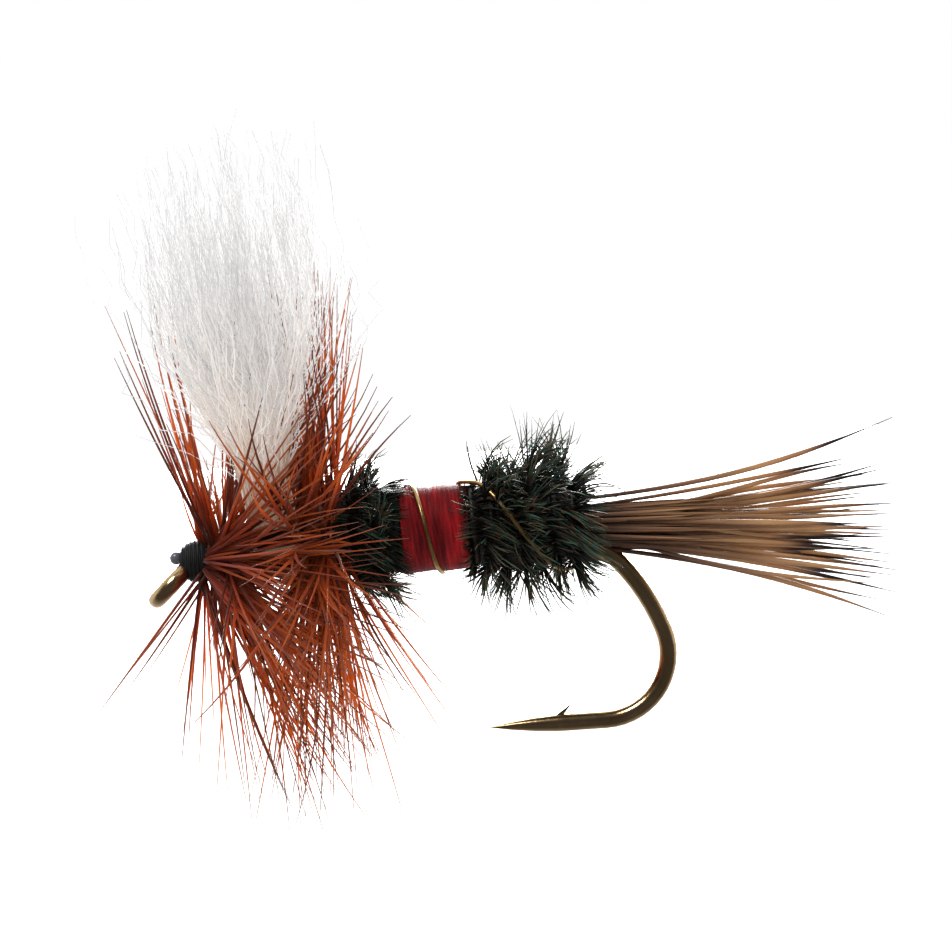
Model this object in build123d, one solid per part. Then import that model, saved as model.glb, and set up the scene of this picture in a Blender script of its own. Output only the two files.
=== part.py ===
from build123d import *
import os
from math import cos, radians, sin, tan

# A hair-wing dry fly dressed on a down-eye hook, in millimetres.
# The origin is the centre of the hook's eye. +X runs along the shank to the tail and
# +Z up to the wings, so the fly's left side faces -Y.

# hook
wire_radius = 0.29
eye_wire_radius = 0.28
eye_ring_radius = 0.68  # centreline of the ring
eye_land_depth = 0.02  # how far the eye's inner wall is reamed into the ring
eye_angle = 42.7  # degrees that the eye is turned down from the shank
eye_drop = 0.72  # from the shank's axis down to the eye's centre
neck_bend_radius = 0.45
shank_end = 12.87  # where the bend begins, from the eye's centre
gape = 6.22  # from the shank's axis to the spear's axis
heel_radius = 2.77
heel_turn = 49.4
back_radius = 6.97
back_turn = 22.3
spear_length = 3.90  # from the end of the bend to the tip of the point
point_taper = 2.40
point_shoulder = 0.20  # wire radius halfway down the taper
point_tip_radius = 0.012
barb_setback = 2.35  # from the tip of the point to the barb's root
barb_length = 0.58
barb_angle = 40.0
barb_root = 0.13
barb_width = 0.16
barb_sink = 0.02  # how deep the cut of the barb starts in the wire

# lengths of the dressing along the shank, from the eye backwards
head_front = 0.35
head_length = 0.95
front_hackle_length = 1.15
dam_length = 0.40
wing_root_length = 1.60
rear_hackle_length = 1.30
front_herl_length = 1.95
floss_length = 2.25
herl_overhang = 1.03  # the rear herl runs this far past the start of the bend
tail_length = 10.4
winding_gap = 0.05  # between two neighbouring windings

# thickness of the dressing
thread = 0.05  # one layer of tying thread
butts_radius = 1.12  # lashed hair butts that build up the body
hair_below = 0.205  # butts that have rolled under the shank
root_butts_radius = 0.85  # the same bundle just behind the wings
root_hair_below = 0.10
tail_root_radius = 0.70
tail_root_rise = 0.36  # centre of the tail's root above the shank's axis
herl_quill = 0.22  # one turn of peacock quill
herl_flue = 0.36  # packed flue that stands on the quill
floss = 0.28
rib_radius = 0.075
rib_sink = 0.05  # how deep the rib beds into what it crosses
hackle_quill = 0.30
front_hackle_turns = 4
hackle_radius = 9.0
hackle_rim = 1.70  # thickness of a hackle collar at its rim
hackle_rim_round = 0.45  # how far the rim's edge falls away from its crown
front_hackle_lean = 3.20  # how far its rim stands forward of its quill
rear_hackle_lean = 2.50
head_radius = 0.70
dam_radius = 0.80
saddle_layers = 6  # layers of thread in the crossed turns between the wings
cement_radius = 0.22
cement_rise = 0.16  # of the bead's centre above the shank's axis
tag_radius = 0.06
tag_length = 0.62
tag_slant = 0.2  # how far the tag runs back for each step down

# wings
wing_lean = 5.5  # degrees forward
wing_splay = 25.0  # degrees out to each side
wing_spacing = 0.50  # of each root from the middle plane
wing_length = 15.4
wing_root_size = (0.78, 0.44)  # half width along the shank, half width across it
wing_waist_height = 1.5  # end of the straight, posted part
wing_body_size = (2.75, 1.95)
post_height = 0.60
post_wrap_width = 0.70

# the wing's brush above its waist: share of the wing's length, and of its full half sizes
wing_outline = ((0.35, 0.50), (0.66, 0.96), (0.84, 1.00), (0.96, 0.72), (1.00, 0.40))

# the head: share of its length from the front, and of its full radius
head_outline = ((0.0, 0.45), (0.20, 0.80), (0.55, 1.00), (0.85, 0.92), (1.0, 0.75))

# tail fan: share of the tail's length, drop below the root, half height, half width
tail_fan = (
    (0.40, 0.05, 1.05, 0.90),
    (0.78, 0.25, 1.75, 1.35),
    (0.97, 0.40, 1.95, 1.50),
    (1.00, 0.42, 1.25, 0.90),
)

rib_step = 20  # degrees between the points of the rib's path
bore_stub = 2.0  # how far a tool that bores a piece runs past its end

# places that follow from the sizes above
wrapped_radius = wire_radius + thread
shank_z = eye_drop
bend_turn = heel_turn + back_turn
throat_radius = (
    gape
    - heel_radius * (1 - cos(radians(heel_turn)))
    - back_radius * (cos(radians(heel_turn)) - cos(radians(bend_turn)))
) / (1 + cos(radians(bend_turn)))
eye_bore_radius = eye_ring_radius - eye_wire_radius + eye_land_depth
head_back = head_front + head_length
front_hackle_back = head_back + front_hackle_length
dam_back = front_hackle_back + dam_length
wing_x = dam_back + wing_root_length / 2
wing_back = dam_back + wing_root_length
rear_hackle_front = wing_back + winding_gap
rear_hackle_back = rear_hackle_front + rear_hackle_length
front_herl_front = rear_hackle_back + winding_gap
floss_front = front_herl_front + front_herl_length
floss_back = floss_front + floss_length
body_back = shank_end + herl_overhang
butts_rise = butts_radius - wrapped_radius - hair_below
root_butts_rise = root_butts_radius - wrapped_radius - root_hair_below
tail_root_z = shank_z + tail_root_rise

# the rib's crossings: distance from the eye, and degrees round from the top by the near side
rib_crossings = (
    (front_herl_front + 0.13, -205),
    (front_herl_front + 0.50, -180),
    (floss_front + 0.40, 0),
    (floss_front + 1.30, 180),
    (floss_back - 0.22, 360),
    (body_back - 0.35, 540),
)

# the bundle of lashed butts: distance from the eye, rise of its centre above the shank, radius
bundle = (
    (wing_back, root_butts_rise, root_butts_radius),
    (front_herl_front, butts_rise, butts_radius),
    (shank_end - winding_gap, butts_rise, butts_radius),
    (body_back, tail_root_rise, tail_root_radius),
)


def eye_direction():
    """Unit vector from the shank's bend down through the middle of the eye."""
    return Vector(-cos(radians(eye_angle)), 0, -sin(radians(eye_angle)))


def eye_normal():
    """Unit vector square to the eye's ring, upwards and forwards."""
    return Vector(-sin(radians(eye_angle)), 0, cos(radians(eye_angle)))


def bundle_at(x):
    """Centre rise and radius of the butts at a distance from the eye."""
    for (x0, z0, r0), (x1, z1, r1) in zip(bundle, bundle[1:]):
        if x <= x1:
            break
    t = (x - x0) / (x1 - x0)
    return z0 + t * (z1 - z0), r0 + t * (r1 - r0)


def disc(x, z, radius):
    """A round section square to the shank."""
    return Plane((x, 0, z), x_dir=(0, 1, 0), z_dir=(1, 0, 0)) * Circle(radius)


def oval(x, z, half_width, half_height):
    """An oval section square to the shank."""
    return Plane((x, 0, z), x_dir=(0, 1, 0), z_dir=(1, 0, 0)) * Ellipse(half_width, half_height)


def layer(profile):
    """A solid round the butts: profile lists distances from the eye and heights over the butts."""
    sections = []
    for x, height in profile:
        rise, radius = bundle_at(x)
        sections.append(disc(x, shank_z + rise, radius + height))
    return loft(sections, ruled=True)


def even_layer(front, back, height):
    """A layer of one height, with a section at each place where the butts change."""
    corners = [x for x, _, _ in bundle if front < x < back]
    return layer([(x, height) for x in (front, *corners, back)])


def sleeve(front, back, inside, outside):
    return even_layer(front, back, outside) - even_layer(front, back, inside)


def wound_profile(front, back, low, high, turn):
    """Zigzag heights of a strand wound in close turns."""
    turns = max(2, round((back - front) / turn))
    step = (back - front) / turns
    profile = [(front, low)]
    for i in range(turns):
        profile.append((front + (i + 0.5) * step, high))
        profile.append((front + (i + 1) * step, low))
    return profile


def hook():
    """Eye ring, neck, shank, three-arc bend, straight spear, tapered point and raised barb."""
    down = eye_direction()
    corner = Vector(0, 0, 0) - down * (shank_z / sin(radians(eye_angle)))
    tangent_run = neck_bend_radius * tan(radians(eye_angle / 2))
    neck_start = Vector(0, 0, 0) - down * eye_ring_radius
    neck_end = corner + down * tangent_run
    neck_length = (neck_end - neck_start).length
    neck_plane = Plane(neck_start, z_dir=Vector(0, 0, 0) - down)
    neck = neck_plane * Cone(
        eye_wire_radius, wire_radius, neck_length, align=(Align.CENTER, Align.CENTER, Align.MIN)
    )

    with BuildLine(Plane.XZ) as path:
        start = (neck_end.X, neck_end.Z)
        bend = JernArc(start, (cos(radians(eye_angle)), sin(radians(eye_angle))),
                       neck_bend_radius, -eye_angle)
        shank = Line(bend @ 1, (shank_end, shank_z))
        heel = JernArc(shank @ 1, shank % 1, heel_radius, -heel_turn)
        back = JernArc(heel @ 1, heel % 1, back_radius, -back_turn)
        throat = JernArc(back @ 1, back % 1, throat_radius, -(180 - bend_turn))
        Line(throat @ 1, (throat @ 1) + (throat % 1) * (spear_length - point_taper))
    wire = sweep(Plane(neck_end, z_dir=Vector(0, 0, 0) - down) * Circle(wire_radius), path=path.wire())

    tip_x = (throat @ 1).X - spear_length
    spear_z = shank_z - gape
    root_x = tip_x + point_taper
    with BuildSketch(Plane.XZ) as taper:
        with BuildLine():
            edge = ThreePointArc(
                (root_x, spear_z + wire_radius),
                (root_x - point_taper / 2, spear_z + point_shoulder),
                (tip_x, spear_z + point_tip_radius),
            )
            Polyline(edge @ 1, (tip_x, spear_z), (root_x, spear_z), edge @ 0)
        make_face()
    point = revolve(taper.sketch, axis=Axis((0, 0, spear_z), (1, 0, 0)))

    barb_x = tip_x + barb_setback
    barb_z = spear_z + wire_radius
    rise = Vector(cos(radians(barb_angle)), sin(radians(barb_angle)))
    with BuildSketch(Plane.XZ) as blade:
        with BuildLine():
            Polyline(
                (barb_x - barb_root, barb_z - wire_radius / 2),
                (barb_x - barb_root, barb_z - barb_sink),
                (barb_x + barb_length * rise.X, barb_z + barb_length * rise.Y),
                (barb_x + barb_root, barb_z - barb_sink),
                (barb_x + barb_root, barb_z - wire_radius / 2),
                close=True,
            )
        make_face()
    barb = extrude(blade.sketch, amount=barb_width / 2, both=True)

    ring = Plane((0, 0, 0), z_dir=eye_normal()) * Torus(eye_ring_radius, eye_wire_radius)
    bore = Plane((0, 0, 0), z_dir=eye_normal()) * Cylinder(eye_bore_radius, 4 * eye_wire_radius)
    return wire + neck + point + barb + ring - bore


def wrapped_shank():
    """The straight shank with its thread, as one solid rod, to bore what is tied round it."""
    start = head_back - head_length / 4
    plane = Plane((start, 0, shank_z), z_dir=(1, 0, 0))
    return extrude(plane * Circle(wrapped_radius), shank_end - start)


def thread_base():
    """Close turns of thread on the bare shank, which everything else is tied to."""
    plane = Plane((shank_end, 0, shank_z), z_dir=(-1, 0, 0))
    return wrapped_shank() - extrude(plane * Circle(wire_radius), shank_end)


def tail_hair(hook_wire, rod):
    """The tail's butts along the shank and its fan of hair behind the bend."""
    butts = even_layer(floss_back, body_back, 0)
    sections = [disc(body_back, tail_root_z, tail_root_radius)]
    for share, drop, half_height, half_width in tail_fan:
        x = body_back + share * tail_length
        sections.append(oval(x, tail_root_z - drop, half_width, half_height))
    return butts + loft(sections, ruled=True) - hook_wire - rod


def wing_butts(rod):
    """Butts of the wing hair, lashed back along the shank to meet those of the tail."""
    return even_layer(wing_back, floss_back, 0) - rod


def tie_wraps(front, back, hook_wire):
    """Thread wound over the butts between two places."""
    return sleeve(front, back, 0, thread) - hook_wire


def wound_quill(front, back, thickness, turn, hook_wire):
    """A quill wound in close turns over the thread."""
    outer = layer(wound_profile(front, back, thread + thickness / 3, thread + thickness, turn))
    return outer - even_layer(front, back, thread) - hook_wire


def flue_profile(front, back):
    """Heights of the packed flue: low at its two ends, full between them."""
    full = thread + herl_quill + herl_flue
    low = thread + herl_quill + herl_flue / 4
    shoulder = (back - front) / 6
    corners = [x for x, _, _ in bundle if front + shoulder < x < back - shoulder]
    places = (front + shoulder, *corners, back - shoulder)
    return [(front, low), *((x, full) for x in places), (back, low)]


def flue(front, back, hook_wire, rib):
    """The flue of a wound herl, hollow round its quill, with the rib's bed pressed into it."""
    outer = layer(flue_profile(front, back))
    return outer - rib - even_layer(front, back, thread + herl_quill) - hook_wire


def floss_band(rib):
    band = sleeve(floss_front, floss_back, thread, thread + floss)
    return band - rib


def height_over_butts(x):
    """Height of the body's surface over the butts at a distance from the eye."""
    for front, back in ((front_herl_front, floss_front), (floss_back, body_back)):
        if front <= x <= back:
            profile = flue_profile(front, back)
            for (x0, h0), (x1, h1) in zip(profile, profile[1:]):
                if x <= x1:
                    return h0 + (h1 - h0) * (x - x0) / (x1 - x0)
    return thread + floss


def rib_wire():
    """Fine wire in an open spiral over herl, floss and herl."""
    points = []
    for (x0, a0), (x1, a1) in zip(rib_crossings, rib_crossings[1:]):
        steps = max(1, round((a1 - a0) / rib_step))
        for i in range(steps):
            t = i / steps
            points.append((x0 + t * (x1 - x0), a0 + t * (a1 - a0)))
    points.append(rib_crossings[-1])
    path = []
    for x, angle in points:
        rise, radius = bundle_at(x)
        reach = radius + height_over_butts(x) + rib_radius - rib_sink
        turn = radians(angle)
        path.append((x, -reach * sin(turn), shank_z + rise + reach * cos(turn)))
    line = Spline(*path)
    return sweep(Plane(line @ 0, z_dir=line % 0) * Circle(rib_radius), path=line)


def wing_frame(side):
    """Plane at a wing's root: local Z up the hair, local X along the shank."""
    lean = radians(wing_lean)
    splay = radians(wing_splay)
    up = Vector(-sin(lean), side * sin(splay) * cos(lean), cos(splay) * cos(lean))
    along = Vector(cos(lean), 0, 0) - up * up.dot(Vector(cos(lean), 0, 0))
    return Plane((wing_x, side * wing_spacing, shank_z), x_dir=along, z_dir=up)


def wing(side, rod):
    """One hair clump: a straight posted root that opens into a rounded brush."""
    frame = wing_frame(side)
    root = extrude(frame * Ellipse(*wing_root_size), wing_waist_height)
    wide, deep = wing_body_size
    sections = [frame.offset(wing_waist_height) * Ellipse(*wing_root_size)]
    for height, size in wing_outline:
        sections.append(frame.offset(height * wing_length) * Ellipse(size * wide, size * deep))
    return root + loft(sections) - rod


def post_wraps(side, hair):
    """Thread wound round the root of one wing."""
    band = wing_frame(side).offset(post_height)
    rx, ry = wing_root_size
    return extrude(band * Ellipse(rx + thread, ry + thread), post_wrap_width) - hair


def figure_eight_wraps(left, right, left_post, right_post, rod):
    """Crossed turns that part the two wings, a saddle on the shank between their roots."""
    plane = Plane((dam_back, 0, shank_z), z_dir=(1, 0, 0))
    saddle = extrude(plane * Circle(wrapped_radius + saddle_layers * thread), wing_root_length)
    return saddle - rod - left - right - left_post - right_post


def shank_turns(front, back, inner, profile):
    """A body of revolution on the shank's axis: profile lists distances and radii."""
    points = [(front, inner), *profile, (back, inner)]
    with BuildSketch(Plane.XZ) as section:
        with BuildLine():
            Polyline(*((x, shank_z + r) for x, r in points), close=True)
        make_face()
    return revolve(section.sketch, axis=Axis((0, 0, shank_z), (1, 0, 0)))


def wing_dam_wraps(hair):
    """A cone of thread jammed against the front of the wings to stand them up."""
    profile = ((front_hackle_back, wrapped_radius + thread), (dam_back, dam_radius))
    turns = shank_turns(front_hackle_back, dam_back, wrapped_radius, profile)
    for clump in hair:
        turns -= clump
    return turns


def front_hackle_quill():
    step = front_hackle_length / front_hackle_turns
    profile = []
    for i in range(front_hackle_turns):
        profile.append((head_back + i * step, wrapped_radius + hackle_quill / 2))
        profile.append((head_back + (i + 0.5) * step, wrapped_radius + hackle_quill))
    profile.append((front_hackle_back, wrapped_radius + hackle_quill / 2))
    return shank_turns(head_back, front_hackle_back, wrapped_radius, profile)


def hackle_collar(front, back, lean, hub):
    """A dished collar of hackle barbs, straight up to its hub's radius, that leans by its rim."""
    middle = (front + back) / 2 + lean
    edge = shank_z + hackle_radius - hackle_rim_round
    with BuildSketch(Plane.XZ) as section:
        with BuildLine():
            rim = ThreePointArc(
                (middle - hackle_rim / 2, edge),
                (middle, shank_z + hackle_radius),
                (middle + hackle_rim / 2, edge),
            )
            Polyline(
                rim @ 1,
                (back, shank_z + hub),
                (back, shank_z),
                (front, shank_z),
                (front, shank_z + hub),
                rim @ 0,
            )
        make_face()
    return revolve(section.sketch, axis=Axis((0, 0, shank_z), (1, 0, 0)))


def front_hackle_barbs():
    hub = max(head_radius, wrapped_radius + hackle_quill)
    collar = hackle_collar(head_back, front_hackle_back, -front_hackle_lean, hub)
    plane = Plane((head_back - bore_stub, 0, shank_z), z_dir=(1, 0, 0))
    length = front_hackle_length + 2 * bore_stub
    core = extrude(plane * Circle(wrapped_radius + hackle_quill), length)
    return collar - core


def rear_hackle_barbs():
    hub = butts_rise + butts_radius + thread + herl_quill + herl_flue
    collar = hackle_collar(rear_hackle_front, rear_hackle_back, rear_hackle_lean, hub)
    ends = (rear_hackle_front, rear_hackle_back)
    core = even_layer(*ends, thread + hackle_quill)
    stub_front = extrude(face_at(core, rear_hackle_front), bore_stub)
    stub_back = extrude(face_at(core, rear_hackle_back), bore_stub)
    return collar - core - stub_front - stub_back


def face_at(solid, x):
    """The flat face of a solid that lies square to the shank, nearest a distance from the eye."""
    return min(solid.faces(), key=lambda face: abs(face.center().X - x))


def head_wraps(hook_wire, base):
    """Whip-finished thread head over the neck of the eye."""
    profile = [(head_front + x * head_length, r * head_radius) for x, r in head_outline]
    return shank_turns(head_front, head_back, 0, profile) - hook_wire - base


def head_cement(hook_wire, head):
    """Bead of cement on the front of the head, above the eye."""
    bead = Pos(head_front - cement_radius / 2, 0, shank_z + cement_rise) * Sphere(cement_radius)
    return bead - hook_wire - head


def thread_tag(head):
    """Cut end of the tying thread, under the head."""
    top = Vector(head_front + 0.6 * head_length, 0, shank_z - 0.8 * head_radius)
    plane = Plane(top, z_dir=(tag_slant, 0, -1))
    return extrude(plane * Circle(tag_radius), tag_length) - head


def assemble():
    """Every piece by its name, each fitted to the ones tied in before it."""
    wire = hook()
    base = thread_base()
    rod = wrapped_shank()
    rib = rib_wire()
    left = wing(-1, rod)
    right = wing(1, rod)
    left_post = post_wraps(-1, left)
    right_post = post_wraps(1, right)
    head = head_wraps(wire, base)
    herl_turn = 2 * herl_quill
    hackle_turn = 0.9 * hackle_quill
    return {
        "hook": wire,
        "thread_base": base,
        "tail_hair": tail_hair(wire, rod),
        "tail_tie_wraps": tie_wraps(floss_back, body_back, wire),
        "wing_butts": wing_butts(rod),
        "butt_tie_wraps": tie_wraps(wing_back, floss_back, wire),
        "left_wing": left,
        "right_wing": right,
        "left_wing_post_wraps": left_post,
        "right_wing_post_wraps": right_post,
        "figure_eight_wraps": figure_eight_wraps(left, right, left_post, right_post, rod),
        "wing_dam_wraps": wing_dam_wraps((left, right, left_post, right_post)),
        "rear_herl_quill": wound_quill(floss_back, body_back, herl_quill, herl_turn, wire),
        "rear_herl_flue": flue(floss_back, body_back, wire, rib),
        "floss_band": floss_band(rib),
        "front_herl_quill": wound_quill(front_herl_front, floss_front, herl_quill, herl_turn, wire),
        "front_herl_flue": flue(front_herl_front, floss_front, wire, rib),
        "rib_wire": rib,
        "rear_hackle_quill": wound_quill(
            rear_hackle_front, rear_hackle_back, hackle_quill, hackle_turn, wire
        ),
        "rear_hackle_barbs": rear_hackle_barbs(),
        "front_hackle_quill": front_hackle_quill(),
        "front_hackle_barbs": front_hackle_barbs(),
        "head_wraps": head,
        "head_cement": head_cement(wire, head),
        "thread_tag": thread_tag(head),
    }


os.makedirs("parts", exist_ok=True)
for name, piece in assemble().items():
    piece.label = name
    export_step(piece, f"parts/{name}.step")
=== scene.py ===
import math
import random

import bpy
from mathutils import Matrix, Vector
from mathutils.kdtree import KDTree


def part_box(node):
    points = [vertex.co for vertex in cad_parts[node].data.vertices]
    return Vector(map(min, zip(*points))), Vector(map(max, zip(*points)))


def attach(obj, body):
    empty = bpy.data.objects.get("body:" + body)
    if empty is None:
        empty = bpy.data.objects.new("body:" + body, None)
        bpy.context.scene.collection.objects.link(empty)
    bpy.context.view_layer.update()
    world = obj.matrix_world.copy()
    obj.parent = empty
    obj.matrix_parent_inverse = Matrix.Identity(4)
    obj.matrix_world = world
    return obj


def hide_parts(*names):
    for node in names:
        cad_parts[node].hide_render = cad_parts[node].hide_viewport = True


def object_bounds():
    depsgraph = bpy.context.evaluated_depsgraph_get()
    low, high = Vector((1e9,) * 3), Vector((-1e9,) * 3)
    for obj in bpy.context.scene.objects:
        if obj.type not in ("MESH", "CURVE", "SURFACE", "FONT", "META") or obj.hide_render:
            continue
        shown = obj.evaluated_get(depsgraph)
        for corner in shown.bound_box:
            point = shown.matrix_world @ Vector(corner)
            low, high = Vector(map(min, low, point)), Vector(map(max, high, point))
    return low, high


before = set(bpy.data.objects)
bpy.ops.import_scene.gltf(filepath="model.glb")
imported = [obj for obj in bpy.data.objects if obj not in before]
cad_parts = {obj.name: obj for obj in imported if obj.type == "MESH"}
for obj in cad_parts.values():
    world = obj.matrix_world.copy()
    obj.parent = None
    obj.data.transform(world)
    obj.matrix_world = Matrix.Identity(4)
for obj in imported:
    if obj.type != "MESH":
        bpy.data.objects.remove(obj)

# A hair-wing dry fly: bronzed hook, thread, tail, herl and floss body, rib, wings and hackles.
# +X runs from the hook's eye to the tail and +Z up to the wings, in metres.

MM = 0.001
TURN = 2 * math.pi
GOLDEN_TURN = math.pi * (3 - math.sqrt(5))  # spreads points evenly over a disc
X_AXIS = Vector((1, 0, 0))
cad_low, cad_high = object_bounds()


# ---------------------------------------------------------------- places read from the frame

def middle(node):
    low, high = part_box(node)
    return (low + high) / 2


def span(node):
    """First and last place of a node along the shank."""
    low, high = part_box(node)
    return low.x, high.x


def half_height(node):
    low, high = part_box(node)
    return (high.z - low.z) / 2


shank_z = middle("thread_base").z
shank_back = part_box("thread_base")[1].x
wrapped_radius = half_height("thread_base")
body_z = middle("floss_band").z
quill_radius = half_height("front_herl_quill")
floss_radius = half_height("floss_band")
body_back = span("rear_herl_flue")[1]
hackle_reach = half_height("front_hackle_barbs")
wing_x = middle("figure_eight_wraps").x

# sizes that can't be measured from a single node
THREAD = 0.04 * MM  # radius of the tying thread
TAIL_RISE = 0.36 * MM  # centre of the tail's root over the shank
TAIL_ROOT_RADIUS = 0.70 * MM  # of the tail's root
ROOT_HERL = 0.35 * MM  # herl over the tail's root
BARB_ROOT = 0.42 * MM  # where a barb starts, out from the hackle's axis
WING_ASIDE = 0.50 * MM  # a wing's root, out from the shank's axis
WING_LEAN = math.radians(5.5)  # towards the eye
WING_SPLAY = math.radians(25)  # out from upright
BARB_STEPS = 9
LOOSE_HACKLE_SEED = 21
FLOSS_SEED = 21
TAIL_SEED = 5

root_z = shank_z + TAIL_RISE


def body_at(x):
    """Height of the body's centre and share of its full radius at a place along the shank."""
    t = min(1.0, max(0.0, (x - shank_back) / (body_back - shank_back)))
    share = 1 + t * ((TAIL_ROOT_RADIUS + ROOT_HERL) / quill_radius - 1)
    return body_z + t * (root_z - body_z), share


# ---------------------------------------------------------------- fibres, threads and windings

def smooth(t):
    t = min(1.0, max(0.0, t))
    return t * t * (3 - 2 * t)


def mix(a, b, t):
    return a + (b - a) * t


def round_the_shank(angle):
    """Unit vector out of the shank: 0 is up, a quarter turn is the left side, away from +Y."""
    return Vector((0, -math.sin(angle), math.cos(angle)))


class Strands:
    """Gathers tapered fibres, then makes them one closed-tube mesh with attributes for its material."""

    def __init__(self, sides):
        self.sides = sides
        self.corners = []
        self.faces = []
        self.along = []
        self.shade = []
        self.uv = []

    def add(self, points, radii, shade, flat=1.0, across=None, share=1.0):
        """One fibre through points. flat squeezes it along across, or along its first normal.

        share is how much of its material's root-to-tip run the fibre shows.
        """
        sides = self.sides
        first = len(self.corners)
        count = len(points)
        heading = (points[1] - points[0]).normalized()
        side = across if across is not None else heading.orthogonal()
        length = 0.0
        for i, point in enumerate(points):
            before = points[max(0, i - 1)]
            after = points[min(count - 1, i + 1)]
            heading = (after - before).normalized()
            side = side - heading * side.dot(heading)
            side.normalize()
            up = heading.cross(side)
            if i:
                length += (point - points[i - 1]).length
            for k in range(sides):
                a = TURN * k / sides
                offset = side * (math.cos(a) * flat) + up * math.sin(a)
                self.corners.append(point + offset * radii[i])
                self.along.append(share * i / (count - 1))
                self.shade.append(shade)
                self.uv.append((length / MM, k / sides))
        for i in range(count - 1):
            ring = first + i * sides
            for k in range(sides):
                k2 = (k + 1) % sides
                self.faces.append((ring + k, ring + k2, ring + sides + k2, ring + sides + k))
        self.faces.append(tuple(first + k for k in reversed(range(sides))))
        last = first + (count - 1) * sides
        self.faces.append(tuple(last + k for k in range(sides)))

    def make(self, name, material, slot, *nodes):
        mesh = bpy.data.meshes.new(name)
        mesh.from_pydata(self.corners, [], self.faces)
        for key, values in (("along", self.along), ("shade", self.shade)):
            layer = mesh.attributes.new(key, "FLOAT", "POINT")
            layer.data.foreach_set("value", values)
        layer = mesh.uv_layers.new(name="length_and_round")
        for loop in mesh.loops:
            layer.data[loop.index].uv = self.uv[loop.vertex_index]
        mesh.shade_smooth()
        piece = bpy.data.objects.new(name, mesh)
        bpy.context.scene.collection.objects.link(piece)
        dress(piece, material, slot, *nodes)


def dress(piece, material, slot, *nodes):
    """Gives a finished piece its material and place in the frame."""
    piece.data.materials.clear()
    piece.data.materials.append(material)
    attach(piece, "root")
    if nodes:
        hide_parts(*nodes)


def bent_fibre(start, heading, length, bend, bend_way, steps):
    """Points of a fibre whose heading turns steadily by bend radians towards bend_way."""
    points = [start.copy()]
    heading = heading.normalized()
    way = (bend_way - heading * bend_way.dot(heading)).normalized()
    for i in range(steps):
        turn = bend * (i + 0.5) / steps
        step = heading * math.cos(turn) + way * math.sin(turn)
        points.append(points[-1] + step * (length / steps))
    return points


def coil(front, back, radius_at, turns, steps, start=0.0, centre_at=None):
    """Points of a strand wound round the shank from front to back."""
    points = []
    count = max(2, round(turns * steps))
    for i in range(count + 1):
        t = i / count
        x = mix(front, back, t)
        angle = start + TURN * turns * t
        centre = shank_z if centre_at is None else centre_at(x)
        radius = radius_at(x, angle)
        points.append(Vector((x, 0, centre)) + round_the_shank(angle) * radius)
    return points


# ---------------------------------------------------------------- materials

def start_material(name):
    material = bpy.data.materials.new(name)
    material.use_nodes = True
    tree = material.node_tree
    tree.nodes.clear()
    output = tree.nodes.new("ShaderNodeOutputMaterial")
    shader = tree.nodes.new("ShaderNodeBsdfPrincipled")
    tree.links.new(shader.outputs["BSDF"], output.inputs["Surface"])
    return material, tree, shader


def set_finish(shader, **values):
    for key, value in values.items():
        shader.inputs[key.replace("_", " ")].default_value = value


def attribute(tree, name):
    node = tree.nodes.new("ShaderNodeAttribute")
    node.attribute_name = name
    return node.outputs["Fac"]


def ramp(tree, source, *stops):
    node = tree.nodes.new("ShaderNodeValToRGB")
    elements = node.color_ramp.elements
    while len(elements) < len(stops):
        elements.new(0.5)
    for element, (place, colour) in zip(elements, stops):
        element.position = place
        element.color = (*colour, 1)
    tree.links.new(source, node.inputs["Fac"])
    return node.outputs["Color"]


def noise(tree, scale, detail=3.0, stretch=None, vector=None):
    """Noise on the piece's own coordinates. scale is in features per millimetre."""
    node = tree.nodes.new("ShaderNodeTexNoise")
    node.inputs["Scale"].default_value = scale
    node.inputs["Detail"].default_value = detail
    place = tree.nodes.new("ShaderNodeMapping")
    if vector is None:
        coordinates = tree.nodes.new("ShaderNodeTexCoord")
        vector = coordinates.outputs["Object"]
        place.inputs["Scale"].default_value = [1 / MM * s for s in (stretch or (1, 1, 1))]
    else:
        place.inputs["Scale"].default_value = stretch or (1, 1, 1)
    tree.links.new(vector, place.inputs["Vector"])
    tree.links.new(place.outputs["Vector"], node.inputs["Vector"])
    return node.outputs["Fac"]


def blend_colour(tree, how, amount, first, second):
    node = tree.nodes.new("ShaderNodeMix")
    node.data_type = "RGBA"
    node.blend_type = how
    for socket, value in ((node.inputs[0], amount), (node.inputs[6], first), (node.inputs[7], second)):
        if isinstance(value, bpy.types.NodeSocket):
            tree.links.new(value, socket)
        elif isinstance(value, tuple):
            socket.default_value = (*value, 1)
        else:
            socket.default_value = value
    return node.outputs[2]


def bump(tree, shader, height, distance, strength=1.0):
    node = tree.nodes.new("ShaderNodeBump")
    node.inputs["Distance"].default_value = distance
    node.inputs["Strength"].default_value = strength
    tree.links.new(height, node.inputs["Height"])
    tree.links.new(node.outputs["Normal"], shader.inputs["Normal"])


def rough_between(tree, shader, source, low, high):
    node = tree.nodes.new("ShaderNodeMapRange")
    node.inputs["To Min"].default_value = low
    node.inputs["To Max"].default_value = high
    tree.links.new(source, node.inputs["Value"])
    tree.links.new(node.outputs["Result"], shader.inputs["Roughness"])


def shine_through(tree, shader, colour, share):
    """Lets a share of the light from behind a thin fibre come through it in its own colour."""
    through = tree.nodes.new("ShaderNodeBsdfTranslucent")
    both = tree.nodes.new("ShaderNodeMixShader")
    both.inputs["Fac"].default_value = share
    output = next(node for node in tree.nodes if node.type == "OUTPUT_MATERIAL")
    tree.links.new(colour, through.inputs["Color"])
    tree.links.new(shader.outputs["BSDF"], both.inputs[1])
    tree.links.new(through.outputs["BSDF"], both.inputs[2])
    tree.links.new(both.outputs["Shader"], output.inputs["Surface"])


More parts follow.
